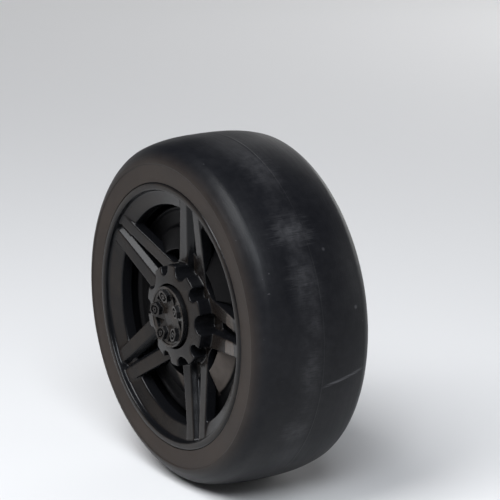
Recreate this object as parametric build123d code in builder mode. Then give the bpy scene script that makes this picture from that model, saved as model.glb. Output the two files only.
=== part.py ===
from build123d import *
from math import cos, radians, sin, tan
import os

# Front wheel of a children's ride-on kart, on its stub axle and steering knuckle.
# The wheel is the right front one. All sizes are in millimetres.
# +X is forward, +Y is inboard (towards the kart's middle) and +Z is up.
# The origin is the middle of the kingpin bore, on which the knuckle turns.
# Wheel pieces are described by r, the distance from the axle's line, and by h,
# the distance outboard of the wheel's middle plane.

# Overall sizes
tyre_diameter = 260.0
tyre_width = 98.4
kingpin_offset = 80.0      # from the wheel's middle plane to the kingpin's line

# Tyre
shoulder_width = 7.3       # from the tyre's side to the edge of the gently crowned tread
crown_drop = 5.9           # how much lower the tread is at its edges
side_depth = 16.8          # how far inside the tread the sloping flank ends
flank_width = 6.7          # the flank between the shoulder and the bead ring
flank_drop = 1.95          # the flank falls by this much to the shoulder
shoulder_bulge = 0.5       # rounding of the shoulder, towards r and towards h
bead_ring_width = 13.5     # the flat ring of the side wall beside the rim
bead_ring_step = 0.8       # the ring is this much below the side wall
tyre_clearance = 0.15      # between the foam tyre and the rim it is pressed on

# Rim, both halves
flange_width = 4.2         # how much the flange is larger than the tyre's seat
flange_thickness = 5.0
flange_edge = 1.4          # chamfer of the inner half's flange
barrel_wall = 3.6
lip_rise = 0.9             # the lip stands this much outside the bead ring
lip_edge = 1.8             # bevel of the outer half's lip
lip_slope = 0.6            # the recessed wall narrows by this much inwards
lip_wall = 2.5             # between the tyre's seat and the recessed wall

# Face of the outer half
spoke_count = 5
spoke_phase = 74.6         # angle of the first spoke pair, from +X towards +Z
wall_depth = 4.4           # from the lip's top down to the foot of the recessed wall
ledge_width = 11.0         # sloping ring at the foot of the recessed wall
ledge_drop = 4.1           # the ledge falls this much to its inner edge
ledge_thickness = 9.0
bar_rise = 1.9             # the bars stand this much above the ledge's inner edge
dish_drop = 9.6            # the bars fall this much from the ledge to the hub
bar_depth = 9.0
root_depth = 6.7           # thickness of the bars at the hub, where they lie on the web
pair_width_rim = 28.4      # over both bars, at the ledge's inner edge
pair_width_hub = 37.6      # over both bars, at the hub's teeth
channel_width_rim = 8.4    # between the bars, at the ledge's inner edge
channel_width_hub = 15.2   # between the bars, at the hub's teeth
channel_depth = 4.2
channel_lean = 2.95        # each side of a channel leans in by this much to its floor
slot_offset = 11.2         # from the hub's teeth to the middle of the slot's round end
slot_length = 33.8
slot_width = 6.4
slot_tip = 1.2
window_corner = 10.0       # rounding of a window's corner at the hub

# Hub of the outer half
hub_tip_radius = 38.0
hub_rise = 10.6            # the teeth stand this much above the bars' roots
hub_dome = 2.4             # the hub's front falls by this much to its teeth
tooth_rounding = 0.8       # of the teeth's upright edges
flute_large = 7.4
flute_small = 4.8
flute_depth = 7.4          # from the hub's teeth to the bottom of the flutes
cap_recess_radius = 24.0
cap_recess_depth = 11.0
nut_pocket_radius = 14.0
nut_pocket_depth = 14.0
hub_tube_radius = 16.0
hub_sink = 2.0             # the hub reaches this far into the web's recess
skirt_inset = 2.0          # from the hub's teeth to the ring under the hub
skirt_wall = 3.0

# Inner half
web_thickness = 4.0
drum_gap = 12.3            # between the drum and the barrel
drum_wall = 2.6
drum_rise = 2.0            # the drum stands this much above the web
shelf_thickness = 4.0      # the ring that joins the drum to the barrel
web_recess_margin = 8.0    # from the hub's teeth to the edge of the web's recess
web_recess_depth = 12.0
pad_start = 10.0           # from the hub's teeth to the raised pad in each window
pad_margin = 12.0          # from the pad to the drum
pad_height = 8.2           # at its inner end; it slopes down towards the drum
pad_slope = 20.0           # angle of the pads' fronts
pad_clearance = 0.3        # between a pad and the bars beside it
rib_count = 10
rib_thickness = 3.0
rib_height = 24.0
inner_hub_radius = 20.0
inner_hub_length = 44.0
half_clearance = 0.15      # where the two halves plug into each other

# Screws that hold the two halves together, from the inner side
screw_circle = 28.0
screw_hole_radius = 2.2
screw_pilot_radius = 1.6
screw_pilot_depth = 14.0
screw_post_radius = 4.6

# Centre cap
cap_clearance = 1.3        # the dark gap round the cap
cap_wall = 2.0
cap_rise = 3.2             # the cap's rim stands this much above the hub
cap_ring_width = 1.8
cap_ring_height = 0.5
dish_lean = 14.0           # slope of the dish inside the cap's rim, which the nuts lean with
dish_floor_radius = 9.0
dummy_nut_circle = 16.0    # radius of the circle of dummy nuts
dummy_nut_flats = 9.5
dummy_nut_height = 3.9
dummy_nut_sink = 1.0       # a nut reaches this far into the dish
dummy_nut_phase = 27.2
dummy_nut_turn = 19.0      # all nuts have their corners at this angle
dummy_hole_radius = 3.4    # round hole in a dummy nut, with a stud's end in it
dummy_hole_depth = 1.6
dummy_stud_radius = 2.0
dummy_dimple_radius = 0.7
pocket_tip = 10.0          # three-cornered pocket between two dummy nuts, as r
pocket_base = 18.6
pocket_width = 8.4
pocket_depth = 0.8         # below the dish's floor

# Axle, bushes, washers and nut
axle_radius = 6.0
running_clearance = 0.06   # between the axle and its bushes
bush_wall = 2.5
bush_flange_radius = 12.0
bush_flange = 2.0
bush_length = 16.0
bush_clearance = 0.05      # between a bush and the hub it is pressed into
side_clearance = 0.3       # between a turning face and a standing one
washer_radius = 11.0
washer_thickness = 2.0
nut_flats = 18.0
nut_height = 10.0
axle_end = 2.5             # the axle stands out of its nut by this much
collar_radius = 11.0
collar_thickness = 5.0
root_radius = 8.0

# Knuckle
kingpin_radius = 5.1
kingpin_tube_wall = 5.0
kingpin_tube_length = 56.0
arm_thickness = 5.0
arm_height = -17.0         # middle of the arm's plate
arm_length = 72.0
arm_inset = 12.0           # the arm's eye lies this much inboard
arm_root_radius = 17.0
arm_eye_radius = 10.0
tie_rod_radius = 4.1

# Values worked out from the sizes above
tyre_radius = tyre_diameter / 2
half_width = tyre_width / 2
side_radius = tyre_radius - side_depth
tread_edge = half_width - shoulder_width
shoulder_r = (tyre_radius - crown_drop + side_radius + flank_width) / 2
shoulder_h = (tread_edge + half_width - flank_drop) / 2
bead_face = half_width - bead_ring_step
flange_radius = side_radius - bead_ring_width
seat_radius = flange_radius - flange_width
lip_top = bead_face + lip_rise
flange_seat = lip_top - flange_thickness
wall_radius = seat_radius - lip_wall
wall_foot = lip_top - wall_depth
ledge_h = wall_foot - ledge_drop
ledge_back = ledge_h - ledge_thickness
ledge_radius = wall_radius - ledge_width
bar_front = ledge_h + bar_rise
root_front = bar_front - dish_drop
flute_root = hub_tip_radius - flute_depth
slot_start = hub_tip_radius + slot_offset
skirt_radius = hub_tip_radius - skirt_inset
web_recess_radius = hub_tip_radius + web_recess_margin
dish_slope = dish_drop / (ledge_radius - hub_tip_radius)
web_height = root_front - root_depth
web_recess_h = web_height - web_recess_depth
skirt_end = web_recess_h + half_clearance
hub_back = web_height - hub_sink
hub_front = root_front + hub_rise + hub_dome
recess_floor = hub_front - cap_recess_depth
pocket_floor = recess_floor - nut_pocket_depth
bush_outer = axle_radius + running_clearance + bush_wall
bush_bore = bush_outer + bush_clearance
inner_hub_end = -inner_hub_length
outer_washer_h = pocket_floor + bush_flange + side_clearance
nut_h = outer_washer_h + washer_thickness
axle_tip = nut_h + nut_height + axle_end
spacer_h = inner_hub_end - bush_flange - side_clearance
collar_h = spacer_h - washer_thickness
tube_radius = kingpin_radius + kingpin_tube_wall
barrel_inside = seat_radius - barrel_wall
drum_outside = barrel_inside - drum_gap
drum_radius = drum_outside - drum_wall
pad_inner = hub_tip_radius + pad_start
pad_outer = drum_radius - pad_margin
rib_start = inner_hub_radius - 1.5
rib_step = web_recess_radius + web_thickness / 2
rib_end = drum_radius + drum_wall / 2

# Planes and lines of the wheel
SIDE = Plane.XZ.offset(kingpin_offset)
SECTION = Plane(origin=(0, -kingpin_offset, 0), x_dir=(1, 0, 0), z_dir=(0, 0, -1))
WHEEL_AXIS = Axis((0, -kingpin_offset, 0), (0, 1, 0))


def crown_r(h):
    """Radius of the crowned tread at the height h."""
    return tyre_radius - crown_drop * (h / tread_edge) ** 2


def bar_h(r):
    """Height of the bars' fronts at the radius r."""
    return root_front + dish_slope * (r - hub_tip_radius)


def taper(r, width_hub, width_rim):
    """Half of a width that changes evenly from the hub to the ledge."""
    share = (r - hub_tip_radius) / (ledge_radius - hub_tip_radius)
    return (width_hub + (width_rim - width_hub) * share) / 2


# Tyre: a foam ring with a gently crowned tread, rounded shoulders and sloping flanks
with BuildPart() as tyre:
    with BuildSketch(SECTION):
        Polygon(
            (crown_r(0), 0),
            (crown_r(tread_edge / 3), tread_edge / 3),
            (crown_r(tread_edge * 2 / 3), tread_edge * 2 / 3),
            (crown_r(tread_edge), tread_edge),
            (shoulder_r + shoulder_bulge, shoulder_h + shoulder_bulge),
            (side_radius + flank_width, half_width - flank_drop),
            (side_radius, half_width),
            (side_radius - 0.5, bead_face),
            (flange_radius + tyre_clearance, bead_face),
            (flange_radius + tyre_clearance, flange_seat - tyre_clearance),
            (seat_radius + tyre_clearance, flange_seat - tyre_clearance),
            (seat_radius + tyre_clearance, 0),
            align=None,
        )
        mirror(about=Plane.XZ)
    revolve(axis=WHEEL_AXIS)
tyre.part.label = "tyre"

window_half = 180 / spoke_count


def window_outline(gap):
    """Window between two spoke pairs, open past the ledge, smaller by a gap at each bar."""
    reach = wall_radius + 6
    side = taper(reach, pair_width_hub, pair_width_rim) + gap
    foot = taper(0, pair_width_hub, pair_width_rim) + gap
    slope = (foot - side) / reach
    tip = foot / (sin(radians(window_half)) + slope * cos(radians(window_half)))
    far_x = reach * cos(radians(window_half)) + side * sin(radians(window_half))
    far_y = reach * sin(radians(window_half)) - side * cos(radians(window_half))
    with BuildSketch() as outline:
        with BuildLine():
            Polyline((tip, 0), (far_x, far_y), (reach + 20, 0), (far_x, -far_y), (tip, 0))
        make_face()
        fillet(outline.vertices().sort_by(Axis.X)[0], window_corner)
    return outline.sketch


# Outline of one slot: round near the hub and narrow near the rim
with BuildSketch() as slot:
    with BuildLine():
        slot_end = ThreePointArc(
            (slot_start, -slot_width / 2),
            (slot_start - slot_width / 2, 0),
            (slot_start, slot_width / 2),
        )
        Polyline(
            slot_end @ 1,
            (slot_start + slot_length, slot_tip / 2),
            (slot_start + slot_length, -slot_tip / 2),
            slot_end @ 0,
        )
    make_face()

# One channel between two bars, along +X with h as +Z: leaning sides, and a floor that
# follows the bars' fronts
channel_top = channel_depth + 1.5
with BuildPart() as channel:
    for r in (flute_root - 1, wall_radius + 0.6):
        top = taper(r, channel_width_hub, channel_width_rim)
        floor = top - channel_lean
        brim = floor + channel_lean * channel_top / channel_depth
        floor_h = bar_h(r) - channel_depth
        with BuildSketch(Plane(origin=(r, 0, floor_h), x_dir=(0, 1, 0), z_dir=(1, 0, 0))):
            Polygon((-floor, 0), (floor, 0), (brim, channel_top), (-brim, channel_top), align=None)
    loft()
with BuildPart(SIDE) as channels:
    with PolarLocations(0, spoke_count, spoke_phase):
        add(channel.part)

# Hub of the outer half: a fluted drum with a sloping front
with BuildPart() as fluted_hub:
    with BuildSketch(SIDE.offset(hub_back)) as teeth:
        Circle(hub_tip_radius)
        with PolarLocations(flute_root + flute_large, spoke_count, spoke_phase):
            Circle(flute_large, mode=Mode.SUBTRACT)
        with PolarLocations(flute_root + flute_small, spoke_count, spoke_phase + window_half):
            Circle(flute_small, mode=Mode.SUBTRACT)
        fillet(teeth.vertices(), tooth_rounding)
    extrude(amount=hub_front - hub_back)
    with BuildSketch(SECTION):
        Polygon(
            (0, hub_front),
            (cap_recess_radius, hub_front),
            (hub_tip_radius + 1, hub_front - hub_dome),
            (hub_tip_radius + 1, 0),
            (0, 0),
            align=None,
        )
    revolve(axis=WHEEL_AXIS, mode=Mode.INTERSECT)

# Outer half of the rim: lip, recessed wall, ledge, spoked face, hub and half a barrel
with BuildPart() as rim_face:
    # The dished face, which the windows and channels cut into pairs of bars
    bar_lift = hub_tip_radius + (bar_depth - root_depth) / dish_slope
    with BuildSketch(SECTION):
        Polygon(
            (hub_tube_radius - 2, bar_h(hub_tube_radius - 2)),
            (wall_radius + 1, bar_h(wall_radius + 1)),
            (wall_radius + 1, bar_h(wall_radius + 1) - bar_depth),
            (bar_lift, web_height),
            (hub_tube_radius - 2, web_height),
            align=None,
        )
    revolve(axis=WHEEL_AXIS)
    with BuildSketch(SIDE):
        with PolarLocations(0, spoke_count, spoke_phase + window_half):
            add(window_outline(0))
    extrude(amount=lip_top + 10, mode=Mode.SUBTRACT)
    # The ledge, over which the bars and the channels run on to the recessed wall
    with BuildSketch(SECTION):
        Polygon(
            (ledge_radius, ledge_h),
            (wall_radius, wall_foot),
            (wall_radius + 1, wall_foot),
            (wall_radius + 1, ledge_back),
            (ledge_radius - 0.8, ledge_back),
            align=None,
        )
    revolve(axis=WHEEL_AXIS)
    add(channels.part, mode=Mode.SUBTRACT)
    # Wedge-shaped slots through the channels' floors
    with BuildSketch(SIDE):
        with PolarLocations(0, spoke_count, spoke_phase):
            add(slot.sketch)
    extrude(amount=lip_top + 10, mode=Mode.SUBTRACT)
    # Lip, recessed wall and barrel
    with BuildSketch(SECTION):
        Polygon(
            (seat_radius, 0),
            (seat_radius, flange_seat),
            (flange_radius, flange_seat),
            (flange_radius, lip_top - lip_edge),
            (flange_radius - lip_edge, lip_top),
            (wall_radius + lip_slope + 0.7, lip_top),
            (wall_radius + lip_slope, lip_top - 0.7),
            (wall_radius, wall_foot),
            (wall_radius, ledge_back),
            (barrel_inside, ledge_back),
            (barrel_inside, 0),
            align=None,
        )
    revolve(axis=WHEEL_AXIS)
    # Hub, with a skirt and screw posts that reach into the web's recess
    add(fluted_hub.part)
    with BuildSketch(SIDE.offset(skirt_end)):
        Circle(skirt_radius)
        Circle(skirt_radius - skirt_wall, mode=Mode.SUBTRACT)
        with PolarLocations(screw_circle, spoke_count, spoke_phase + window_half):
            Circle(screw_post_radius)
    extrude(amount=hub_back - skirt_end + 1)
    with BuildSketch(SIDE.offset(skirt_end)):
        with PolarLocations(screw_circle, spoke_count, spoke_phase + window_half):
            Circle(screw_pilot_radius)
    extrude(amount=screw_pilot_depth, mode=Mode.SUBTRACT)
    # Hub tube, cap recess, nut pocket and the bush's bore
    with BuildSketch(SIDE):
        Circle(hub_tube_radius)
    extrude(amount=recess_floor - 2)
    with BuildSketch(SIDE.offset(recess_floor)):
        Circle(cap_recess_radius)
    extrude(amount=lip_top, mode=Mode.SUBTRACT)
    with BuildSketch(SIDE.offset(pocket_floor)):
        Circle(nut_pocket_radius)
    extrude(amount=lip_top, mode=Mode.SUBTRACT)
    with BuildSketch(SIDE):
        Circle(bush_bore)
    extrude(amount=lip_top, mode=Mode.SUBTRACT)
rim_face.part.label = "rim_face"

# Outline of one raised pad of the inner half, which fills the middle of a window
with BuildSketch() as pad:
    add(window_outline(pad_clearance))
    Circle(pad_outer, mode=Mode.INTERSECT)
    Circle(pad_inner, mode=Mode.SUBTRACT)

# Inner half of the rim: flange, half a barrel, shelf, drum, stepped web, pads, ribs and hub tube
with BuildPart() as rim_back:
    with BuildSketch(SECTION):
        Polygon(
            (seat_radius, 0),
            (seat_radius, -flange_seat),
            (flange_radius, -flange_seat),
            (flange_radius, flange_edge - lip_top),
            (flange_radius - flange_edge, -lip_top),
            (barrel_inside + 1, -lip_top),
            (barrel_inside, 1 - lip_top),
            (barrel_inside, -shelf_thickness),
            (drum_radius, -shelf_thickness),
            (drum_radius, web_height - web_thickness),
            (web_recess_radius + web_thickness, web_height - web_thickness),
            (web_recess_radius + web_thickness, web_recess_h - web_thickness),
            (inner_hub_radius, web_recess_h - web_thickness),
            (inner_hub_radius, inner_hub_end),
            (bush_bore, inner_hub_end),
            (bush_bore, 0),
            (hub_tube_radius + half_clearance, 0),
            (hub_tube_radius + half_clearance, web_recess_h),
            (web_recess_radius, web_recess_h),
            (web_recess_radius, web_height),
            (drum_radius, web_height),
            (drum_radius, web_height + drum_rise),
            (drum_outside, web_height + drum_rise),
            (drum_outside, 0),
            align=None,
        )
    revolve(axis=WHEEL_AXIS)
    # Raised pads, one in each window of the outer half
    with BuildSketch(SIDE.offset(web_height - web_thickness / 2)):
        with PolarLocations(0, spoke_count, spoke_phase + window_half):
            add(pad.sketch)
    extrude(amount=web_thickness / 2 + pad_height)
    with BuildSketch(SECTION):
        Polygon(
            (pad_inner - 1, web_height + pad_height),
            (pad_inner, web_height + pad_height),
            (pad_outer + 1, web_height + pad_height - (pad_outer + 1 - pad_inner) * tan(radians(pad_slope))),
            (pad_outer + 1, lip_top),
            (pad_inner - 1, lip_top),
            align=None,
        )
    revolve(axis=WHEEL_AXIS, mode=Mode.SUBTRACT)
    # Ribs on the inner side, stepped like the web
    with BuildSketch(SIDE.offset(web_height - web_thickness - rib_height)):
        with PolarLocations((rib_start + rib_end) / 2, rib_count, spoke_phase + window_half / 2):
            Rectangle(rib_end - rib_start, rib_thickness)
    extrude(amount=rib_height - web_recess_depth + web_thickness / 2)
    with BuildSketch(SIDE.offset(web_recess_h - web_thickness)):
        with PolarLocations((rib_step + rib_end) / 2, rib_count, spoke_phase + window_half / 2):
            Rectangle(rib_end - rib_step, rib_thickness)
    extrude(amount=web_recess_depth + web_thickness / 2)
    with BuildSketch(SIDE.offset(web_recess_h - web_thickness)):
        with PolarLocations(screw_circle, spoke_count, spoke_phase + window_half):
            Circle(screw_hole_radius)
    extrude(amount=web_thickness, mode=Mode.SUBTRACT)
rim_back.part.label = "rim_back"

# Centre cap: a cup with a shallow dish in its front, and five dummy nuts on the dish's slope
cap_radius = cap_recess_radius - cap_clearance
cap_rim = hub_front + cap_rise
dish_radius = cap_radius - cap_ring_width
dish_edge = cap_rim - cap_ring_height
dish_floor = dish_edge - (dish_radius - dish_floor_radius) * tan(radians(dish_lean))
cap_pocket_h = dish_floor - pocket_depth


def nut_front(angle):
    """Plane of a dummy nut's front, which faces a little towards the cap's middle."""
    lean = radians(dish_lean)
    outwards = Vector(cos(radians(angle)), 0, sin(radians(angle)))
    outboard = Vector(0, -1, 0)
    base_h = dish_edge - (dish_radius - dummy_nut_circle) * tan(lean)
    middle = outwards * dummy_nut_circle + outboard * (kingpin_offset + base_h)
    facing = outboard * cos(lean) - outwards * sin(lean)
    return Plane(
        origin=middle + facing * dummy_nut_height,
        x_dir=outwards * cos(lean) + outboard * sin(lean),
        z_dir=facing,
    )


with BuildPart() as centre_cap:
    with BuildSketch(SIDE.offset(recess_floor)):
        Circle(cap_radius)
    extrude(amount=cap_rim - recess_floor)
    with BuildSketch(SECTION):
        Polygon(
            (0, dish_floor),
            (dish_floor_radius, dish_floor),
            (dish_radius, dish_edge),
            (dish_radius, cap_rim + 1),
            (0, cap_rim + 1),
            align=None,
        )
    revolve(axis=WHEEL_AXIS, mode=Mode.SUBTRACT)
    with BuildSketch(SIDE.offset(cap_pocket_h)):
        with PolarLocations(0, spoke_count, dummy_nut_phase + window_half):
            Polygon(
                (pocket_tip, 0),
                (pocket_base, pocket_width / 2),
                (pocket_base, -pocket_width / 2),
                align=None,
            )
    extrude(amount=cap_rim - cap_pocket_h, mode=Mode.SUBTRACT)
    for step in range(spoke_count):
        nut_angle = dummy_nut_phase + step * 2 * window_half
        with BuildSketch(nut_front(nut_angle)):
            RegularPolygon(
                dummy_nut_flats / 2, 6, major_radius=False, rotation=dummy_nut_turn - nut_angle
            )
        extrude(amount=-dummy_nut_height - dummy_nut_sink)
        with BuildSketch(nut_front(nut_angle)):
            Circle(dummy_hole_radius)
            Circle(dummy_stud_radius, mode=Mode.SUBTRACT)
            Circle(dummy_dimple_radius)
        extrude(amount=-dummy_hole_depth, mode=Mode.SUBTRACT)
    with BuildSketch(SIDE.offset(recess_floor)):
        Circle(cap_radius - cap_wall)
    extrude(amount=cap_pocket_h - cap_wall - recess_floor, mode=Mode.SUBTRACT)
centre_cap.part.label = "centre_cap"


def flanged_bush(start, sleeve):
    """A flanged bush whose flange's hub side lies at start; sleeve is its signed length."""
    outwards = 1 if sleeve < 0 else -1
    with BuildPart() as bush:
        with BuildSketch(SIDE.offset(start)):
            Circle(bush_outer)
        extrude(amount=sleeve)
        with BuildSketch(SIDE.offset(start)):
            Circle(bush_flange_radius)
        extrude(amount=outwards * bush_flange)
        with BuildSketch(SIDE.offset(start + outwards * bush_flange)):
            Circle(axle_radius + running_clearance)
        extrude(amount=sleeve - outwards * bush_flange, mode=Mode.SUBTRACT)
    return bush.part


outer_bush = flanged_bush(pocket_floor, -bush_length)
outer_bush.label = "outer_bush"
inner_bush = flanged_bush(inner_hub_end, bush_length)
inner_bush.label = "inner_bush"

# Washer and nut that keep the wheel on, and the spacer against the axle's collar
with BuildPart() as axle_washer:
    with BuildSketch(SIDE.offset(outer_washer_h)):
        Circle(washer_radius)
        Circle(axle_radius + running_clearance, mode=Mode.SUBTRACT)
    extrude(amount=washer_thickness)
axle_washer.part.label = "axle_washer"

with BuildPart() as axle_nut:
    with BuildSketch(SIDE.offset(nut_h)):
        RegularPolygon(nut_flats / 2, 6, major_radius=False)
        Circle(axle_radius + running_clearance, mode=Mode.SUBTRACT)
    extrude(amount=nut_height)
axle_nut.part.label = "axle_nut"

with BuildPart() as inner_spacer:
    with BuildSketch(SIDE.offset(collar_h)):
        Circle(washer_radius)
        Circle(axle_radius + running_clearance, mode=Mode.SUBTRACT)
    extrude(amount=washer_thickness)
inner_spacer.part.label = "inner_spacer"

# Stub axle: a turned shaft with a collar, coped to the kingpin tube
with BuildPart() as stub_axle:
    with BuildSketch(SECTION):
        Polygon(
            (0, axle_tip),
            (axle_radius - 1, axle_tip),
            (axle_radius, axle_tip - 1),
            (axle_radius, collar_h),
            (collar_radius, collar_h),
            (collar_radius, collar_h - collar_thickness),
            (root_radius, collar_h - collar_thickness),
            (root_radius, -kingpin_offset),
            (0, -kingpin_offset),
            align=None,
        )
    revolve(axis=WHEEL_AXIS)
    with BuildSketch(Plane.XY.offset(-kingpin_tube_length / 2)):
        Circle(tube_radius)
    extrude(amount=kingpin_tube_length, mode=Mode.SUBTRACT)
stub_axle.part.label = "stub_axle"

# Kingpin tube
with BuildPart() as kingpin_tube:
    with BuildSketch(Plane.XY.offset(-kingpin_tube_length / 2)):
        Circle(tube_radius)
        Circle(kingpin_radius, mode=Mode.SUBTRACT)
    extrude(amount=kingpin_tube_length)
kingpin_tube.part.label = "kingpin_tube"

# Steering arm: a plate round the tube, with the tie rod's hole behind the axle
with BuildPart() as steering_arm:
    with BuildSketch(Plane.XY.offset(arm_height - arm_thickness / 2)) as arm_outline:
        Circle(arm_root_radius)
        with Locations((-arm_length, arm_inset)):
            Circle(arm_eye_radius)
        make_hull()
        Circle(tube_radius, mode=Mode.SUBTRACT)
        with Locations((-arm_length, arm_inset)):
            Circle(tie_rod_radius, mode=Mode.SUBTRACT)
    extrude(amount=arm_thickness)
steering_arm.part.label = "steering_arm"

os.makedirs("parts", exist_ok=True)
export_step(tyre.part, "parts/tyre.step")
export_step(rim_face.part, "parts/rim_face.step")
export_step(rim_back.part, "parts/rim_back.step")
export_step(centre_cap.part, "parts/centre_cap.step")
export_step(outer_bush, "parts/outer_bush.step")
export_step(inner_bush, "parts/inner_bush.step")
export_step(axle_washer.part, "parts/axle_washer.step")
export_step(axle_nut.part, "parts/axle_nut.step")
export_step(inner_spacer.part, "parts/inner_spacer.step")
export_step(stub_axle.part, "parts/stub_axle.step")
export_step(kingpin_tube.part, "parts/kingpin_tube.step")
export_step(steering_arm.part, "parts/steering_arm.step")
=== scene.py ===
import math
import random

import bmesh
import bpy
from mathutils import Matrix, Vector


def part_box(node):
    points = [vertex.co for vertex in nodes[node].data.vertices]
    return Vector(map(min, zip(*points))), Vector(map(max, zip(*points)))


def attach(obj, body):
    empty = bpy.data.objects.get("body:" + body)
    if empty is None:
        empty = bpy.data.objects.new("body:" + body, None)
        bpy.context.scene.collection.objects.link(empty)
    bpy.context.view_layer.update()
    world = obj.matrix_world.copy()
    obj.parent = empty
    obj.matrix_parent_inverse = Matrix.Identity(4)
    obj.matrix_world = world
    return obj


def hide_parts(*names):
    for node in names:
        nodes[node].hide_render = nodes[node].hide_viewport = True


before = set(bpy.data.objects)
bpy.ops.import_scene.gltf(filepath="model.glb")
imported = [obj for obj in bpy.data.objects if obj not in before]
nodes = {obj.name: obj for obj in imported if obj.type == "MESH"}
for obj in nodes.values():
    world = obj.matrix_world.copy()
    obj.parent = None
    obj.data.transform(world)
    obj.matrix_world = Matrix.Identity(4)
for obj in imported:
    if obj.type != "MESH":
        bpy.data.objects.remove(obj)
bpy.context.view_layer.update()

# Camera: at the right front of the wheel, a little above the tyre, so that the outer
# half of the rim and the tread both show.
camera_data = bpy.data.cameras.new("camera")
camera_data.sensor_width = 36.0
camera_data.lens = 172.8
camera_data.clip_end = 100.0
camera = bpy.data.objects.new("camera", camera_data)
camera.location = (1.44983, -0.98834, 0.50088)
camera.rotation_euler = (math.radians(75.0356), 0.0, math.radians(57.2908))
bpy.context.scene.collection.objects.link(camera)
bpy.context.scene.camera = camera
bpy.context.scene.view_settings.view_transform = "Standard"

# Studio: a plain room, dim but pale near the floor, with soft lamps above the outer side,
# beside the camera, ahead on the inner side, behind, and low behind the rim's open well.
wheel_centre = Vector((0.0, -0.080, 0.0))


def soft_lamp(name, place, width, height, power, tint):
    """A rectangular lamp that faces the wheel."""
    lamp = bpy.data.lights.new(name, "AREA")
    lamp.shape = "RECTANGLE"
    lamp.size = width
    lamp.size_y = height
    lamp.energy = power
    lamp.color = tint
    stand = bpy.data.objects.new(name, lamp)
    stand.location = place
    aim = wheel_centre - Vector(place)
    stand.rotation_euler = aim.to_track_quat("-Z", "Y").to_euler()
    stand.visible_camera = False
    bpy.context.scene.collection.objects.link(stand)


soft_lamp("main_lamp", (0.20, -1.40, 2.00), 1.2, 1.6, 60.0, (0.97, 0.98, 1.0))
soft_lamp("side_lamp", (1.50, -0.95, 1.72), 1.2, 1.1, 42.0, (0.90, 0.945, 1.0))
soft_lamp("inner_lamp", (1.0, 1.7, 0.55), 0.5, 1.2, 4.0, (0.97, 0.985, 1.0))
soft_lamp("back_lamp", (-1.4, 1.7, 1.0), 1.4, 1.4, 5.5, (1.0, 1.0, 1.0))
soft_lamp("well_lamp", (-0.7, 2.2, 0.50), 1.6, 0.9, 10.0, (1.0, 1.0, 1.0))


def feed(tree, socket, value):
    """Sets a socket to a number or colour, or links it to another node's output."""
    if isinstance(value, bpy.types.NodeSocket):
        tree.links.new(value, socket)
    else:
        socket.default_value = value


def add_node(tree, kind, inputs, **settings):
    """A shader node with its settings and inputs; the inputs are keyed by name or index."""
    made = tree.nodes.new("ShaderNode" + kind)
    for name, value in settings.items():
        setattr(made, name, value)
    for key, value in inputs.items():
        feed(tree, made.inputs[key], value)
    return made


def ramp(tree, value, low, high, at_low=0.0, at_high=1.0):
    """A smooth step from at_low to at_high as the value goes from low to high."""
    return add_node(
        tree,
        "MapRange",
        {"Value": value, "From Min": low, "From Max": high, "To Min": at_low, "To Max": at_high},
        interpolation_type="SMOOTHSTEP",
    ).outputs["Result"]


def mixed(tree, share, colour_a, colour_b):
    """A colour between two others, each a tone of three numbers or a node's output."""
    pair = [
        colour if isinstance(colour, bpy.types.NodeSocket) else (*colour, 1.0)
        for colour in (colour_a, colour_b)
    ]
    return add_node(
        tree, "Mix", {0: share, 6: pair[0], 7: pair[1]}, data_type="RGBA"
    ).outputs[2]


low_air, high_air = (0.50, 0.50, 0.50), (0.056, 0.056, 0.064)
room = bpy.data.worlds.new("room")
room.use_nodes = True
bpy.context.scene.world = room
air = room.node_tree
room_direction = add_node(air, "TexCoord", {}).outputs["Generated"]
room_up = add_node(air, "SeparateXYZ", {"Vector": room_direction}).outputs["Z"]
room_shade = mixed(air, ramp(air, room_up, 0.10, 0.26), low_air, high_air)
feed(air, air.nodes["Background"].inputs["Color"], room_shade)

# Floor: a plain pale sheet that the tyre stands on. It only carries the shadow and is
# no part of the wheel. Far from the lamps it is kept as pale as it is beside the wheel.
tyre_low, tyre_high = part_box("tyre")
floor_radius = 14.0
floor_tone = (0.73, 0.73, 0.73)
pale_from, pale_to, pale_glow = 0.7, 3.6, 0.36


def new_finish(name, colour, roughness):
    """A material with its shader's plain colour and roughness set."""
    finish = bpy.data.materials.new(name)
    finish.use_nodes = True
    shader = finish.node_tree.nodes["Principled BSDF"]
    shader.inputs["Base Color"].default_value = (*colour, 1.0)
    shader.inputs["Roughness"].default_value = roughness
    return finish, finish.node_tree, shader


def calc(tree, operation, *values):
    """The output of a Math node."""
    return add_node(tree, "Math", dict(enumerate(values)), operation=operation).outputs[0]


def chain(tree, operation, *values):
    """One Math operation over two or more values, in turn."""
    result = values[0]
    for value in values[1:]:
        result = calc(tree, operation, result, value)
    return result


floor_finish, floor_tree, floor_shader = new_finish("pale floor", floor_tone, 0.9)
floor_shader.inputs["Specular IOR Level"].default_value = 0.1
floor_place = add_node(floor_tree, "TexCoord", {}).outputs["Object"]
from_wheel = add_node(
    floor_tree, "VectorMath", {0: floor_place}, operation="LENGTH"
).outputs["Value"]
ray = add_node(floor_tree, "LightPath", {}).outputs
seen = chain(
    floor_tree,
    "MAXIMUM",
    ray["Is Camera Ray"],
    ray["Is Glossy Ray"],
    ray["Is Transmission Ray"],
)
far_glow = ramp(floor_tree, from_wheel, pale_from, pale_to, 0.0, pale_glow)
feed(
    floor_tree,
    floor_shader.inputs["Emission Strength"],
    calc(floor_tree, "MULTIPLY", seen, far_glow),
)
floor_shader.inputs["Emission Color"].default_value = (1.0, 1.0, 1.0, 1.0)
floor_shape = bmesh.new()
bmesh.ops.create_circle(floor_shape, cap_ends=True, segments=96, radius=floor_radius)
bmesh.ops.translate(floor_shape, verts=floor_shape.verts, vec=(0.0, 0.0, tyre_low.z))
floor_mesh = bpy.data.meshes.new("floor")
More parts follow.
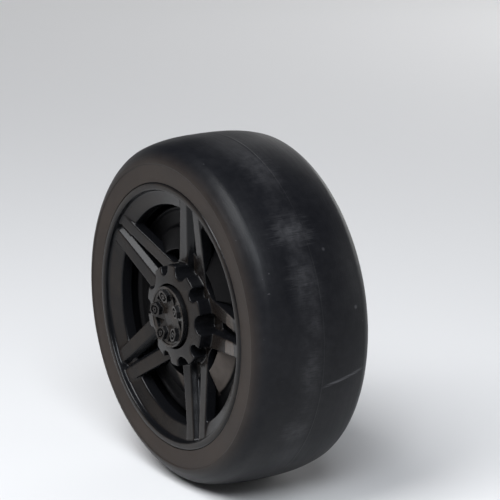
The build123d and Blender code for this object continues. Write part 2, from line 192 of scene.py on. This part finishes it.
floor_shape.to_mesh(floor_mesh)
floor_shape.free()
floor = bpy.data.objects.new("floor", floor_mesh)
floor_mesh.materials.append(floor_finish)
bpy.context.scene.collection.objects.link(floor)

# Tyre: a slick of closed-cell foam with a skin, moulded in two halves and pressed on the
# rim. It has a gently crowned tread, round shoulders, sloping flanks and a flat ring
# beside the rim, with the mould's parting line round the tread.
tyre_radius = (tyre_high.z - tyre_low.z) / 2
half_width = (tyre_high.y - tyre_low.y) / 2
crown_drop = 0.0072  # the tread's middle stands this far above its edges
crown_power = 3.0
shoulder_r, shoulder_h = tyre_radius - crown_drop, half_width - 0.0028
shoulder_round = 0.0086
bead_outer = tyre_radius - 0.0168  # outer edge of the flat ring beside the rim
bead_step = 0.0005
bead_face = half_width - 0.0008
bead_round = 0.00045
flange_radius = bead_outer - 0.01335
flange_seat = bead_face - 0.00425
foam_edge_depth, foam_edge_round = 0.0009, 0.0003
over_rim = 0.00065  # the foam's edge lies this far over the rim's bevel
seat_radius = flange_radius - 0.0042
parting_h = -0.0008
parting_lines = (-0.0009, -0.0003, 0.0003, 0.0009)
ridge_half_width, ridge_height = 0.0004, 0.00009
around = 192
tread_cuts = 28
same_place = 2e-5  # two places closer than this are one


def section_point(r, h):
    """A point of the wheel's section: r from the axle, h outboard of the middle plane."""
    return Vector((r, wheel_centre.y - h, 0.0))


def wheel_place(point):
    """A point's r and h on the wheel."""
    offset = point - wheel_centre
    return math.hypot(offset.x, offset.z), -offset.y


def spin_ring(shape, ring_outline, steps):
    """Spins a closed outline of (r, h) points about the axle."""
    points = [shape.verts.new(section_point(r, h)) for r, h in ring_outline]
    lines = [shape.edges.new((a, b)) for a, b in zip(points, points[1:] + points[:1])]
    bmesh.ops.spin(
        shape,
        geom=points + lines,
        cent=wheel_centre,
        axis=(0.0, 1.0, 0.0),
        dvec=(0.0, 0.0, 0.0),
        angle=math.tau,
        steps=steps,
        use_merge=True,
        use_duplicate=False,
    )
    bmesh.ops.recalc_face_normals(shape, faces=shape.faces)


def ring_edges(shape, r, h):
    """The edges of the spun ring that passes through (r, h)."""
    found = []
    for edge in shape.edges:
        places = [wheel_place(vert.co) for vert in edge.verts]
        if all(abs(a - r) < same_place and abs(b - h) < same_place for a, b in places):
            found.append(edge)
    return found


def round_edges(shape, edges, width, segments):
    """Rounds the edges with a bevel of so many steps."""
    bmesh.ops.bevel(
        shape,
        geom=edges,
        offset=width,
        offset_type="OFFSET",
        segments=segments,
        profile=0.5,
        affect="EDGES",
        clamp_overlap=True,
        material=-1,
    )


def cut_across(shape, point, direction):
    """Cuts the whole shape's faces along a plane, and keeps both sides."""
    bmesh.ops.bisect_plane(
        shape,
        geom=shape.verts[:] + shape.edges[:] + shape.faces[:],
        plane_co=point,
        plane_no=direction,
        dist=1e-7,
    )


def push_out(vert, distance):
    """Moves a vertex straight away from the axle."""
    r, _ = wheel_place(vert.co)
    vert.co.x *= (r + distance) / r
    vert.co.z *= (r + distance) / r


def finished_piece(name, shape, finish, smooth=True):
    """Makes the shape an object at the origin, with its finish."""
    for face in shape.faces:
        face.smooth = smooth
    mesh = bpy.data.meshes.new(name)
    shape.to_mesh(mesh)
    shape.free()
    mesh.materials.append(finish)
    piece = bpy.data.objects.new(name, mesh)
    bpy.context.scene.collection.objects.link(piece)
    return piece


def grain(tree, place, scale, detail=2.0, roughness=0.5):
    """A noise pattern of so many cells a metre."""
    return add_node(
        tree,
        "TexNoise",
        {"Vector": place, "Scale": scale, "Detail": detail, "Roughness": roughness},
    ).outputs["Fac"]


def relief(tree, height, depth, under=None):
    """A normal that follows a height pattern, over another normal if one is given."""
    inputs = {"Height": height, "Distance": depth, "Strength": 1.0}
    if under is not None:
        inputs["Normal"] = under
    return add_node(tree, "Bump", inputs).outputs["Normal"]


def wheel_coordinates(tree):
    """On the wheel: the point, its r and h, its angle, and that angle's cosine and sine."""
    place = add_node(tree, "TexCoord", {}).outputs["Object"]
    point = add_node(
        tree, "Mapping", {"Vector": place, "Location": -wheel_centre}
    ).outputs["Vector"]
    parts = add_node(tree, "SeparateXYZ", {"Vector": point})
    x, y, z = (parts.outputs[axis] for axis in "XYZ")
    r_squared = calc(tree, "ADD", calc(tree, "MULTIPLY", x, x), calc(tree, "MULTIPLY", z, z))
    r = calc(tree, "SQRT", r_squared)
    h = calc(tree, "MULTIPLY", y, -1.0)
    angle = calc(tree, "ARCTAN2", z, x)
    cosine, sine = calc(tree, "DIVIDE", x, r), calc(tree, "DIVIDE", z, r)
    return point, r, h, angle, cosine, sine


def round_pattern(tree, cosine, sine, h, along, across, shift=0.0):
    """A vector for patterns that run round the wheel, scaled along and across."""
    return add_node(
        tree,
        "CombineXYZ",
        {
            "X": calc(tree, "MULTIPLY", cosine, along),
            "Y": calc(tree, "MULTIPLY", sine, along),
            "Z": calc(tree, "MULTIPLY_ADD", h, across, shift),
        },
    ).outputs["Vector"]


def near_place(tree, point, angle, r, h, inner, outer):
    """One within the inner distance of a place on the wheel, nought past the outer one."""
    turn = math.radians(angle)
    place = (math.cos(turn) * r, -h, math.sin(turn) * r)
    gap = add_node(tree, "VectorMath", {0: point, 1: place}, operation="DISTANCE")
    return ramp(tree, gap.outputs["Value"], inner, outer, 1.0, 0.0)


# The skin: fine pores, faint marks round the tread from the mould, a paler rubbed band
# where it has touched the floor, one long scratch, and a few specks of dust.
foam_finish, foam, foam_shader = new_finish("black foam skin", (0.008, 0.008, 0.009), 0.5)
foam_shader.inputs["Specular IOR Level"].default_value = 0.15
foam_point, foam_r, foam_h, foam_angle, foam_cos, foam_sin = wheel_coordinates(foam)
off_side = ramp(foam, foam_r, 0.1085, 0.1235)
on_tread = ramp(foam, foam_r, 0.1200, 0.1240)


def foam_rounds(along, across, shift=0.0):
    """A vector for patterns that run round the tyre."""
    return round_pattern(foam, foam_cos, foam_sin, foam_h, along, across, shift)


cloudy = ramp(foam, grain(foam, foam_point, 22.0, 3.0), 0.3, 0.7)
pores = grain(foam, foam_point, 1500.0, 2.0)
mottled = grain(foam, foam_point, 160.0, 4.0, 0.6)
run_marks = grain(foam, foam_rounds(5.0, 700.0), 1.0, 2.0)
rub_marks = grain(foam, foam_rounds(130.0, 50.0, 3.7), 1.0, 3.0, 0.7)
rub_patches = grain(foam, foam_rounds(5.0, 60.0, 9.1), 1.0, 2.0)
ragged = calc(foam, "MULTIPLY_ADD", rub_marks, 3.4, -1.7)


def foam_direction(angle):
    """How far a point on the tread lies in a direction, as the cosine between the two."""
    return calc(
        foam,
        "ADD",
        calc(foam, "MULTIPLY", foam_cos, math.cos(angle)),
        calc(foam, "MULTIPLY", foam_sin, math.sin(angle)),
    )


def away_from(value, middle):
    """How far a value is from a middle one."""
    return calc(foam, "ABSOLUTE", calc(foam, "SUBTRACT", value, middle))


tread_radius_mm = 130.0


def rubbed_patch(angle, height, reach, width, strength):
    """A patch on the tread, by its angle in degrees and its place and half sizes in mm."""
    centre = math.radians(angle)
    this_side = calc(foam, "GREATER_THAN", foam_direction(centre), 0.0)
    along = foam_direction(centre + math.pi / 2)
    along = calc(foam, "DIVIDE", along, reach / tread_radius_mm)
    beside = calc(foam, "SUBTRACT", foam_h, height / 1000.0)
    beside = calc(foam, "DIVIDE", beside, width / 1000.0)
    gap_squared = calc(foam, "MULTIPLY_ADD", along, along, calc(foam, "MULTIPLY", beside, beside))
    gap = calc(foam, "ADD", calc(foam, "SQRT", gap_squared), ragged)
    return calc(foam, "MULTIPLY", ramp(foam, gap, 0.45, 1.15, strength, 0.0), this_side)


scuffs = calc(
    foam,
    "MULTIPLY",
    ramp(foam, away_from(foam_h, 0.008), 0.004, 0.016, 0.35, 0.0),
    ramp(foam, rub_patches, 0.40, 0.70, 0.25, 1.0),
)
for patch in (
    (66.0, 5.0, 30.0, 13.0, 0.62),
    (38.5, 8.0, 14.0, 16.0, 0.95),
    (22.5, 9.5, 20.0, 12.0, 0.80),
    (9.0, 6.0, 12.0, 7.0, 0.50),
    (-7.0, 9.0, 20.0, 8.0, 0.70),
    (-29.0, 12.0, 12.0, 12.0, 1.00),
    (-41.0, 7.0, 16.0, 13.0, 1.00),
):
    scuffs = calc(foam, "MAXIMUM", scuffs, rubbed_patch(*patch))
scuffs = chain(
    foam,
    "MULTIPLY",
    scuffs,
    ramp(foam, rub_marks, 0.35, 0.65, 0.35, 1.0),
    ramp(foam, mottled, 0.35, 0.65, 0.55, 1.0),
    on_tread,
)
scratch_path = calc(foam, "MULTIPLY_ADD", foam_h, -1.6, -0.2225)
scratch = chain(
    foam,
    "MULTIPLY",
    ramp(foam, away_from(foam_angle, scratch_path), 0.005, 0.012, 1.0, 0.0),
    ramp(foam, away_from(foam_h, -0.0200), 0.010, 0.022, 1.0, 0.0),
    ramp(foam, rub_marks, 0.35, 0.6, 0.2, 1.0),
)
specks = ramp(foam, grain(foam, foam_point, 420.0, 0.0), 0.885, 0.895)
speck_r = 0.1285
for angle, h, width in ((31.3, -0.0125, 0.0010), (11.7, -0.0310, 0.0009), (-14.3, 0.0388, 0.0010)):
    speck = near_place(foam, foam_point, angle, speck_r, h, width, 2.2 * width)
    specks = calc(foam, "MAXIMUM", specks, speck)
dust = calc(
    foam, "MULTIPLY_ADD", ramp(foam, mottled, 0.3, 0.8), 0.05, calc(foam, "MULTIPLY", scuffs, 0.50)
)
dust = calc(foam, "MAXIMUM", dust, calc(foam, "MULTIPLY", scratch, 0.75))
dust = calc(foam, "MINIMUM", calc(foam, "MULTIPLY_ADD", specks, 0.5, dust), 1.0)
dust_tone = (0.075, 0.075, 0.080)
side_tone = mixed(foam, cloudy, (0.0250, 0.0192, 0.0158), (0.0335, 0.0258, 0.0212))
tread_tone = mixed(foam, cloudy, (0.0036, 0.0040, 0.0054), (0.0054, 0.0058, 0.0074))
plain_tone = mixed(foam, off_side, side_tone, tread_tone)
feed(foam, foam_shader.inputs["Base Color"], mixed(foam, dust, plain_tone, dust_tone))


def mixed_number(tree, share, value_a, value_b):
    """A number between two others."""
    return add_node(
        tree, "Mix", {0: share, 2: value_a, 3: value_b}, data_type="FLOAT"
    ).outputs[0]


side_rough = calc(foam, "MULTIPLY_ADD", cloudy, 0.06, 0.50)
tread_rough = ramp(foam, run_marks, 0.3, 0.7, 0.38, 0.43)
tread_rough = calc(foam, "MULTIPLY_ADD", scuffs, 0.2, tread_rough)
foam_rough = mixed_number(foam, off_side, side_rough, tread_rough)
feed(foam, foam_shader.inputs["Roughness"], foam_rough)
foam_relief = None
for marks in (pores, run_marks, rub_marks):
    foam_relief = relief(foam, marks, 0.00004, foam_relief)
feed(foam, foam_shader.inputs["Normal"], foam_relief)

half_outline = [
    (shoulder_r, shoulder_h),
    (bead_outer, half_width),
    (bead_outer - bead_step, bead_face),
    (flange_radius - over_rim, bead_face),
    (flange_radius, bead_face - foam_edge_depth),
    (flange_radius, flange_seat),
    (seat_radius, flange_seat),
]
tyre_shape = bmesh.new()
spin_ring(tyre_shape, half_outline + [(r, -h) for r, h in reversed(half_outline)], around)
for corners, width, segments in (
    ([(bead_outer, half_width), (bead_outer - bead_step, bead_face)], bead_round, 3),
    ([(flange_radius - over_rim, bead_face)], foam_edge_round, 2),
    ([(shoulder_r, shoulder_h)], shoulder_round, 16),
):
    for side in (1, -1):
        edges = [edge for r, h in corners for edge in ring_edges(tyre_shape, r, side * h)]
        round_edges(tyre_shape, edges, width, segments)
# The tread's crown: the flat band is divided across, then pushed out to its arc
tread_lines = [
    edge
    for edge in tyre_shape.edges
    if abs(edge.verts[0].co.y - edge.verts[1].co.y) > shoulder_h
    and min(wheel_place(vert.co)[0] for vert in edge.verts) > bead_outer
]
bmesh.ops.subdivide_edges(tyre_shape, edges=tread_lines, cuts=tread_cuts, use_grid_fill=True)
for vert in tyre_shape.verts:
    r, h = wheel_place(vert.co)
    if r > bead_outer and abs(h) < shoulder_h:
        push_out(vert, crown_drop * (1.0 - abs(h / shoulder_h) ** crown_power))
# The parting line: a low ridge round the tread
for beside in parting_lines:
    cut_across(tyre_shape, section_point(0.0, parting_h + beside), (0.0, 1.0, 0.0))
for vert in tyre_shape.verts:
    r, h = wheel_place(vert.co)
    if r > shoulder_r and abs(h - parting_h) < ridge_half_width:
        push_out(vert, ridge_height)
tyre = finished_piece("foam_slick", tyre_shape, foam_finish)
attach(tyre, "wheel")
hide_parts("tyre")

# Rim, outer half: black polypropylene, injection moulded in a polished mould. Its edges
# are a little rounded and its faces have a faint flow pattern. Its outward faces carry a thin
# film of dust that is also a painted reflection of the floor, and a paler patch on one pair of
# bars is a painted reflection.


def moulded_black(
    name,
    base,
    dust_and_reflection_tone,
    dust_and_reflection_share,
    roughness,
    gloss,
    painted_light_places=(),
    painted_light_tone=(),
    painted_light_radius=1.0,
):
    """Black moulded plastic, its outward faces with a film of dust and painted reflection, and
    painted light in places.
    """
    finish, tree, shader = new_finish(name, base, roughness[0])
    shader.inputs["Specular IOR Level"].default_value = gloss
    point, r = wheel_coordinates(tree)[:2]
    flow = grain(tree, point, 45.0, 3.0)
    clouds = ramp(tree, grain(tree, point, 160.0, 4.0, 0.6), 0.25, 0.75, 0.75, 1.0)
    facing = add_node(tree, "TexCoord", {}).outputs["Normal"]
    facing = add_node(tree, "SeparateXYZ", {"Vector": facing}).outputs["Y"]
    # The outward faces get a paler, warm film: partly dust, partly a painted reflection of the
    # floor.
    outward = ramp(tree, facing, -0.96, -0.64, 1.0, 0.0)
    thin_dust_and_reflection = ramp(tree, flow, 0.30, 0.70, dust_and_reflection_share / 3, dust_and_reflection_share)
    dust_and_reflection = chain(tree, "MULTIPLY", outward, thin_dust_and_reflection, clouds)
    colour = mixed(tree, dust_and_reflection, base, dust_and_reflection_tone)
    painted_light_band = ramp(tree, r, painted_light_radius - 0.0002, painted_light_radius, 1.0, 0.0)
    for *place, strength in painted_light_places:
        here = near_place(tree, point, *place)
        painted_light_spot = chain(tree, "MULTIPLY", here, outward, painted_light_band, strength, clouds)
        colour = mixed(tree, painted_light_spot, colour, painted_light_tone)
    feed(tree, shader.inputs["Base Color"], colour)
    rough = ramp(tree, flow, 0.3, 0.7, *roughness)
    feed(tree, shader.inputs["Roughness"], calc(tree, "MULTIPLY_ADD", dust_and_reflection, 0.06, rough))
    normal = relief(tree, grain(tree, point, 2200.0), 0.000015)
    normal = relief(tree, grain(tree, point, 90.0, 1.0), 0.00012, normal)
    feed(tree, shader.inputs["Normal"], normal)
    return finish


rim_finish = moulded_black(
    "black moulded rim",
    base=(0.0044, 0.0046, 0.0054),
    # The outward film: dust and a painted reflection of the floor.
    dust_and_reflection_tone=(0.043, 0.0310, 0.0215),
    dust_and_reflection_share=0.31,
    roughness=(0.17, 0.25),
    gloss=0.18,
    # Painted reflection: a paler, warm patch on the outer ends of one pair of bars.
    painted_light_places=(
        (-6.5, 0.072, 0.040, 0.0085, 0.0105, 0.95),
        (9.0, 0.074, 0.040, 0.006, 0.009, 0.75),
    ),
    painted_light_tone=(0.074, 0.060, 0.051),
)


def softened_copy(node, name, finish, cell, passes, share):
    """A copy of a CAD node with its edges and inner corners rounded, as a mould leaves them."""
    shape = bmesh.new()
    shape.from_mesh(nodes[node].data)
    bmesh.ops.remove_doubles(shape, verts=shape.verts, dist=1e-6)
    bmesh.ops.recalc_face_normals(shape, faces=shape.faces)
    piece = finished_piece(name, shape, finish)
    remesh = piece.modifiers.new("cells", "REMESH")
    remesh.mode = "VOXEL"
    remesh.voxel_size = cell
    remesh.use_smooth_shade = True
    smooth = piece.modifiers.new("soft edges", "SMOOTH")
    smooth.factor = 0.5
    smooth.iterations = passes
    thin = piece.modifiers.new("fewer faces", "DECIMATE")
    thin.ratio = share
    bpy.context.view_layer.update()
    drawn = piece.evaluated_get(bpy.context.evaluated_depsgraph_get())
    soft = bpy.data.meshes.new_from_object(drawn)
    piece.modifiers.clear()
    piece.data = soft
    return piece


outer_half = softened_copy("rim_face", "rim_outer_half", rim_finish, 0.0006, 11, 0.22)
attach(outer_half, "wheel")
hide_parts("rim_face")

# Rim, inner half: the same plastic, moulded with ten ribs and a deep well, open inboard.
# It is darker and duller than the outer half, because its mould is not polished.
back_finish = moulded_black(
    "black ribbed rim",
    base=(0.0027, 0.0027, 0.0031),
    # Its outward film is dust and a painted reflection of the floor.
    dust_and_reflection_tone=(0.050, 0.043, 0.038),
    dust_and_reflection_share=0.03,
    roughness=(0.38, 0.48),
    gloss=0.09,
    # Painted light: two paler, warm patches on the web where light falls through the windows.
    painted_light_places=(
        (-34.0, 0.056, 0.031, 0.025, 0.030, 0.85),
        (-88.0, 0.049, 0.031, 0.011, 0.017, 0.75),
    ),
    painted_light_tone=(0.085, 0.072, 0.063),
    painted_light_radius=0.0652,
)
inner_half = softened_copy("rim_back", "rim_inner_half", back_finish, 0.0009, 6, 0.30)
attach(inner_half, "wheel")
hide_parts("rim_back")

# Centre cap: the same plastic with a satin face, moulded with a ring and five dummy nuts,
# and pushed into the hub's recess.
cap_finish = moulded_black(
    "satin centre cap",
    base=(0.0045, 0.0045, 0.0050),
    # The cap's outward film is thick: dust and a painted reflection of the floor.
    dust_and_reflection_tone=(0.043, 0.0325, 0.0245),
    dust_and_reflection_share=0.7,
    roughness=(0.22, 0.30),
    gloss=0.24,
)
cap_cover = softened_copy("centre_cap", "push_in_cap", cap_finish, 0.00025, 3, 0.6)
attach(cap_cover, "wheel")
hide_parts("centre_cap")

# Bushes: off-white nylon, turned with a flange and pressed into both ends of the hub. The
# axle runs in them.
nylon, stained_nylon = (0.72, 0.70, 0.64), (0.46, 0.43, 0.37)


def rounded_edges(tree, radius):
    """A normal that rounds the sharp edges."""
    return add_node(tree, "Bevel", {"Radius": radius}, samples=8).outputs["Normal"]


def give_finish(names, finish):
    """Puts a finish on all the slots of the named CAD nodes."""
    for name in names:
        mesh = nodes[name].data
        for index in range(len(mesh.materials)):
            mesh.materials[index] = finish


bush_finish, bush, bush_shader = new_finish("nylon bush", nylon, 0.5)
bush_point, bush_r, bush_h = wheel_coordinates(bush)[:3]
bush_stain = grain(bush, bush_point, 260.0, 3.0)
bush_tone = mixed(bush, ramp(bush, bush_stain, 0.4, 0.75), nylon, stained_nylon)
feed(bush, bush_shader.inputs["Base Color"], bush_tone)
feed(bush, bush_shader.inputs["Roughness"], ramp(bush, bush_stain, 0.3, 0.7, 0.42, 0.58))
turned_rings = round_pattern(
    bush, calc(bush, "MULTIPLY", bush_r, 2500.0), 0.0, bush_h, 1.0, 2500.0
)
bush_relief = relief(bush, grain(bush, turned_rings, 1.0), 0.00003, rounded_edges(bush, 0.0003))
feed(bush, bush_shader.inputs["Normal"], bush_relief)
give_finish(["outer_bush", "inner_bush"], bush_finish)

# Washers, spacer and nut: zinc-plated steel, stamped or cut from bar, with fine marks and
# a trace of grease.


def plated_steel(name, tone, dull_tone):
    """Zinc-plated steel: its tone, its duller patches, turning marks and rounded edges."""
    finish, tree, shader = new_finish(name, tone, 0.32)
    shader.inputs["Metallic"].default_value = 1.0
    point, r, h, _, cosine, sine = wheel_coordinates(tree)
    patches = grain(tree, point, 180.0, 4.0, 0.6)
    colour = mixed(tree, ramp(tree, patches, 0.35, 0.7), tone, dull_tone)
    feed(tree, shader.inputs["Base Color"], colour)
    feed(tree, shader.inputs["Roughness"], ramp(tree, patches, 0.3, 0.7, 0.26, 0.42))
    rings = calc(tree, "MULTIPLY", calc(tree, "ADD", r, h), 3200.0)
    marks = grain(tree, round_pattern(tree, cosine, sine, rings, 1.5, 1.0), 1.0)
    normal = relief(tree, marks, 0.00002, rounded_edges(tree, 0.0004))
    feed(tree, shader.inputs["Normal"], normal)
    return finish, tree, shader


zinc_finish, _, _ = plated_steel("zinc plated steel", (0.62, 0.62, 0.60), (0.50, 0.49, 0.45))
give_finish(["inner_spacer", "axle_washer", "axle_nut"], zinc_finish)

# Knuckle: a steel tube and plate, welded to the axle and painted satin black, with a
# little orange peel and paint worn thin at the edges.
steel_underneath = (0.16, 0.15, 0.14)


def black_paint(tree, point):
    """The paint's colour, roughness and normal."""
    peel = grain(tree, point, 700.0, 2.0)
    flakes = grain(tree, point, 320.0, 5.0, 0.65)
    rounded = rounded_edges(tree, 0.0009)
    plain = add_node(tree, "NewGeometry", {}).outputs["Normal"]
    along = add_node(tree, "VectorMath", {0: rounded, 1: plain}, operation="DOT_PRODUCT")
    edge = ramp(tree, along.outputs["Value"], 0.90, 0.995, 1.0, 0.0)
    worn = calc(tree, "MULTIPLY", edge, ramp(tree, flakes, 0.50, 0.62))
    patchy = ramp(tree, flakes, 0.3, 0.7)
    colour = mixed(tree, patchy, (0.012, 0.012, 0.013), (0.020, 0.020, 0.021))
    colour = mixed(tree, worn, colour, steel_underneath)
    rough = calc(tree, "MULTIPLY_ADD", worn, 0.2, ramp(tree, flakes, 0.3, 0.7, 0.30, 0.38))
    return colour, rough, relief(tree, peel, 0.00006, rounded)


paint_finish, paint, paint_shader = new_finish("black paint", (0.016, 0.016, 0.017), 0.34)
paint_parts = black_paint(paint, wheel_coordinates(paint)[0])
for socket, value in zip(("Base Color", "Roughness", "Normal"), paint_parts):
    feed(paint, paint_shader.inputs[socket], value)
give_finish(["kingpin_tube", "steering_arm"], paint_finish)

# Stub axle: turned steel, bright where the wheel runs, and painted with the knuckle from
# its collar inwards.
paint_edge = (-0.0536, -0.0533)
axle_finish, axle, axle_shader = plated_steel(
    "turned axle", (0.60, 0.60, 0.59), (0.48, 0.47, 0.44)
)
axle_point, _, axle_h = wheel_coordinates(axle)[:3]
painted = ramp(axle, axle_h, *paint_edge, 1.0, 0.0)
paint_colour, paint_rough, paint_normal = black_paint(axle, axle_point)
bright_colour, bright_rough, bright_normal = (
    axle_shader.inputs[name].links[0].from_socket
    for name in ("Base Color", "Roughness", "Normal")
)
axle_colour = mixed(axle, painted, bright_colour, paint_colour)
axle_rough = mixed_number(axle, painted, bright_rough, paint_rough)
axle_normal = add_node(
    axle, "Mix", {0: painted, 4: bright_normal, 5: paint_normal}, data_type="VECTOR"
).outputs[1]
feed(axle, axle_shader.inputs["Base Color"], axle_colour)
feed(axle, axle_shader.inputs["Roughness"], axle_rough)
feed(axle, axle_shader.inputs["Normal"], axle_normal)
feed(axle, axle_shader.inputs["Metallic"], calc(axle, "SUBTRACT", 1.0, painted))
give_finish(["stub_axle"], axle_finish)

# Axle thread: a rolled M12 thread on the axle's end. Less than one turn of it stands out
# of the nut.
nut_low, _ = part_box("axle_nut")
axle_radius = 0.006
pitch = 0.00175
thread_turns, steps_a_turn = 0.85, 40
root_depth, crest_height, half_ridge = 0.0002, 0.0001, 0.0005
thread_start = wheel_centre.y - nut_low.y + 0.0006
thread_shape = bmesh.new()
ridge = [
    thread_shape.verts.new(section_point(axle_radius + lift, thread_start + beside))
    for lift, beside in ((-root_depth, -half_ridge), (crest_height, 0.0), (-root_depth, half_ridge))
]
ridge_face = thread_shape.faces.new(ridge)
bmesh.ops.spin(
    thread_shape,
    geom=ridge + thread_shape.edges[:] + [ridge_face],
    cent=wheel_centre,
    axis=(0.0, 1.0, 0.0),
    dvec=(0.0, -pitch / steps_a_turn, 0.0),
    angle=math.tau * thread_turns,
    steps=round(steps_a_turn * thread_turns),
    use_merge=False,
    use_duplicate=False,
)
bmesh.ops.recalc_face_normals(thread_shape, faces=thread_shape.faces)
thread = finished_piece("axle_thread", thread_shape, zinc_finish, smooth=False)
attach(thread, "knuckle")

# Screws: five self-tapping pan heads that pull the two rim halves together, driven from
# the inner side through the web into the outer half's posts.
screw_count = 5
screw_circle = 0.028
screw_phase = 110.6
screw_seat = 0.0104
screw_turn = 1.1  # each screw stopped at its own angle
head_radius, head_height, head_round = 0.0039, 0.0025, 0.0012
cross_arm, cross_half_slot, cross_depth = 0.0019, 0.00042, 0.0013


def screw_head():
    """A pan head with a cross recess, standing on the origin."""
    head = bmesh.new()
    bmesh.ops.create_cone(
        head,
        cap_ends=True,
        segments=32,
        radius1=head_radius,
        radius2=head_radius,
        depth=head_height,
    )
    bmesh.ops.translate(head, verts=head.verts, vec=(0.0, 0.0, head_height / 2))
    top = head_height * 0.9
    round_edges(head, [e for e in head.edges if all(v.co.z > top for v in e.verts)], head_round, 5)
    for axis in ((1.0, 0.0, 0.0), (0.0, 1.0, 0.0)):
        for place in (-cross_arm, -cross_half_slot, cross_half_slot, cross_arm):
            cut_across(head, Vector(axis) * place, axis)
    cross = []
    for face in head.faces:
        middle = face.calc_center_median()
        near, far = sorted((abs(middle.x), abs(middle.y)))
        if middle.z > top and near < cross_half_slot and far < cross_arm:
            cross.append(face)
    pushed = bmesh.ops.extrude_face_region(head, geom=cross)
    recess_verts = [part for part in pushed["geom"] if isinstance(part, bmesh.types.BMVert)]
    bmesh.ops.translate(head, verts=recess_verts, vec=(0.0, 0.0, -cross_depth))
    bmesh.ops.delete(head, geom=cross, context="FACES")
    return head


screws_shape = bmesh.new()
for step in range(screw_count):
    head = screw_head()
    turn = math.radians(screw_phase + step * 360.0 / screw_count)
    seat = section_point(0.0, screw_seat)
    seat.x, seat.z = math.cos(turn) * screw_circle, math.sin(turn) * screw_circle
    facing_inboard = Matrix.Rotation(math.radians(-90.0), 4, "X")
    own_turn = Matrix.Rotation(screw_turn * step, 4, "Z")
    place = Matrix.Translation(seat) @ facing_inboard @ own_turn
    bmesh.ops.transform(head, matrix=place, verts=head.verts)
    head_mesh = bpy.data.meshes.new("screw_head")
    head.to_mesh(head_mesh)
    head.free()
    screws_shape.from_mesh(head_mesh)
    bpy.data.meshes.remove(head_mesh)
bmesh.ops.recalc_face_normals(screws_shape, faces=screws_shape.faces)
screws = finished_piece("rim_screws", screws_shape, zinc_finish, smooth=False)
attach(screws, "wheel")

# Weld beads: one round the axle's root on the kingpin tube, and one on each side of the
# steering arm. Each is a row of overlapping puddles, painted over.
tube_low, tube_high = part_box("kingpin_tube")
tube_outer = (tube_high.x - tube_low.x) / 2
arm_low, arm_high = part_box("steering_arm")
axle_ring, axle_bead = 0.0080, 0.0015
arm_ring, arm_bead = tube_outer + 0.0003, 0.0014
bead_sides, bead_steps = 10, 180
puddle_length = 0.0014
puddle_start, puddle_swell, puddle_uneven = 0.86, 0.20, 0.08
random.seed(11)


def lay_bead(name, level, axis, ring_radius, bead_radius, follow):
    """A weld bead round the Y or Z axis; follow says where its line runs along that axis."""
    up, side = (1, 2) if axis == "Y" else (2, 1)
    along_axis = Vector((0.0, 0.0, 0.0))
    along_axis[up] = 1.0
    bead = bmesh.new()
    bmesh.ops.create_circle(bead, segments=bead_sides, radius=bead_radius)
    if axis == "Z":
        upright = Matrix.Rotation(math.radians(90.0), 3, "X")
        bmesh.ops.rotate(bead, verts=bead.verts, cent=(0.0, 0.0, 0.0), matrix=upright)
    bmesh.ops.translate(bead, verts=bead.verts, vec=(ring_radius, 0.0, 0.0))
    bmesh.ops.spin(
        bead,
        geom=bead.verts[:] + bead.edges[:],
        cent=(0.0, 0.0, 0.0),
        axis=along_axis,
        dvec=(0.0, 0.0, 0.0),
        angle=math.tau,
        steps=bead_steps,
        use_merge=True,
        use_duplicate=False,
    )
    puddles = round(math.tau * ring_radius / puddle_length)
    sizes = [1.0 + random.uniform(-puddle_uneven, puddle_uneven) for _ in range(puddles)]
    for vert in bead.verts:
        angle = math.atan2(vert.co[side], vert.co.x)
        across = math.hypot(vert.co.x, vert.co[side])
        puddle = (angle % math.tau) / math.tau * puddles
        swell = puddle_start + puddle_swell * math.sqrt(1.0 - puddle % 1.0)
        swell *= sizes[int(puddle) % puddles]
        across = ring_radius + (across - ring_radius) * swell
        vert.co.x = math.cos(angle) * across
        vert.co[side] = math.sin(angle) * across
        vert.co[up] *= swell
        vert.co[up] += follow(vert.co)
    bmesh.ops.translate(bead, verts=bead.verts, vec=along_axis * level)
    bmesh.ops.recalc_face_normals(bead, faces=bead.faces)
    piece = finished_piece(name, bead, paint_finish)
    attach(piece, "knuckle")


def on_tube(point):
    """How far outboard the kingpin tube's surface is at a point of the bead."""
    return -math.sqrt(max(tube_outer**2 - point.x**2, 0.0))


lay_bead("axle_weld", 0.0, "Y", axle_ring, axle_bead, on_tube)
for name, level in (("arm_weld_top", arm_high.z), ("arm_weld_bottom", arm_low.z)):
    lay_bead(name, level, "Z", arm_ring, arm_bead, lambda point: 0.0)
